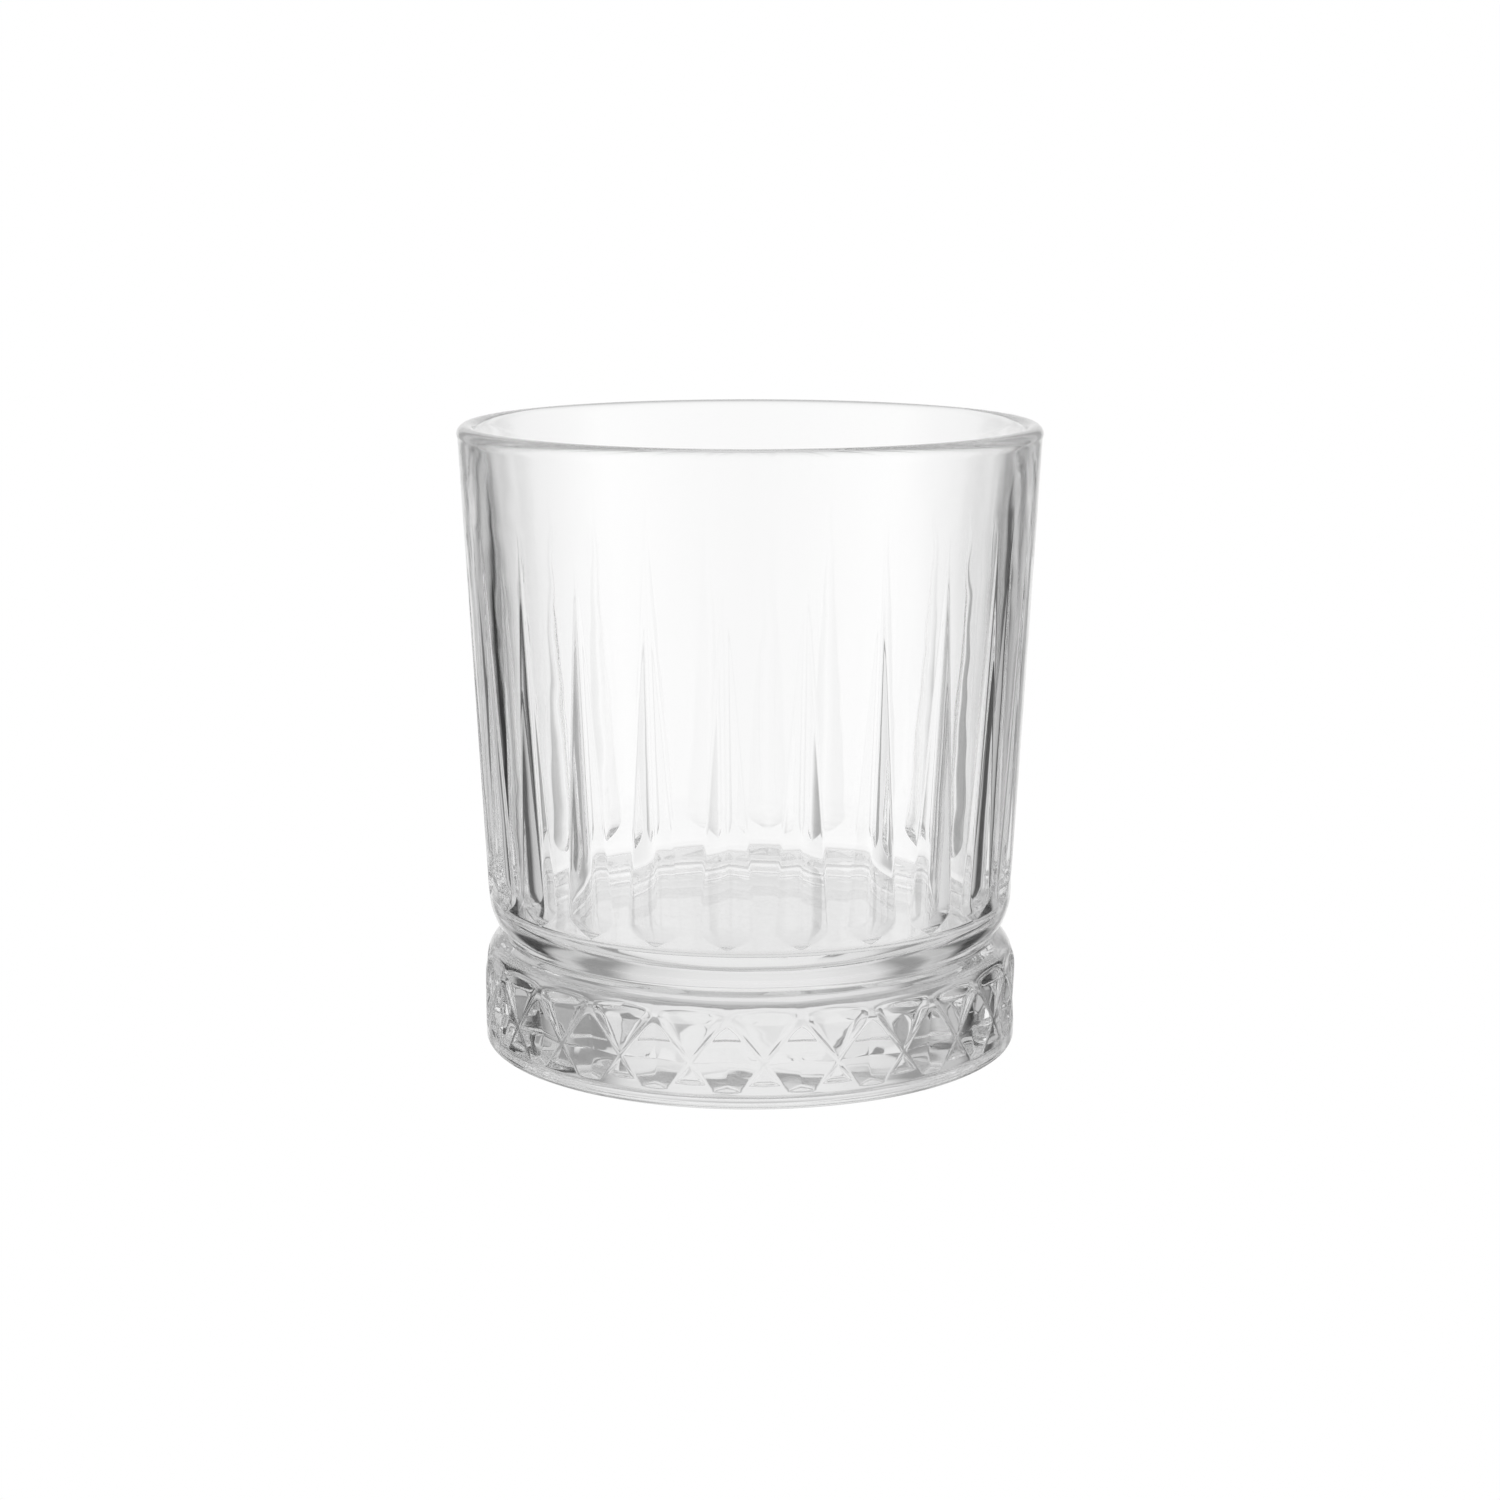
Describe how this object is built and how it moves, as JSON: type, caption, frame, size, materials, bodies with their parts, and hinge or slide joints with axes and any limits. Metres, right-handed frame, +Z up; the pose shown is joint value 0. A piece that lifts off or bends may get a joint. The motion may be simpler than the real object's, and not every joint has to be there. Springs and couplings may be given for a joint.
{
  "type": "whiskey tumbler",
  "caption": "Low tumbler of clear pressed glass, with pointed spear cuts up a slightly flared wall, a grooved waist and a heavy foot with a diamond-cut band.",
  "frame": {"origin": "on the axis of the glass, in the plane of the ring that it stands on", "axes": "+Z up the axis, from the foot to the rim; one spear cut and one diamond of the band are centred on -Y"},
  "size_m": [0.0842, 0.0842, 0.0907],
  "materials": {
    "clear_glass": "clear colourless soda-lime glass, pressed and fire-polished"
  },
  "bodies": {
    "root": {"glass_body": "clear_glass"}
  },
  "joints": []
}
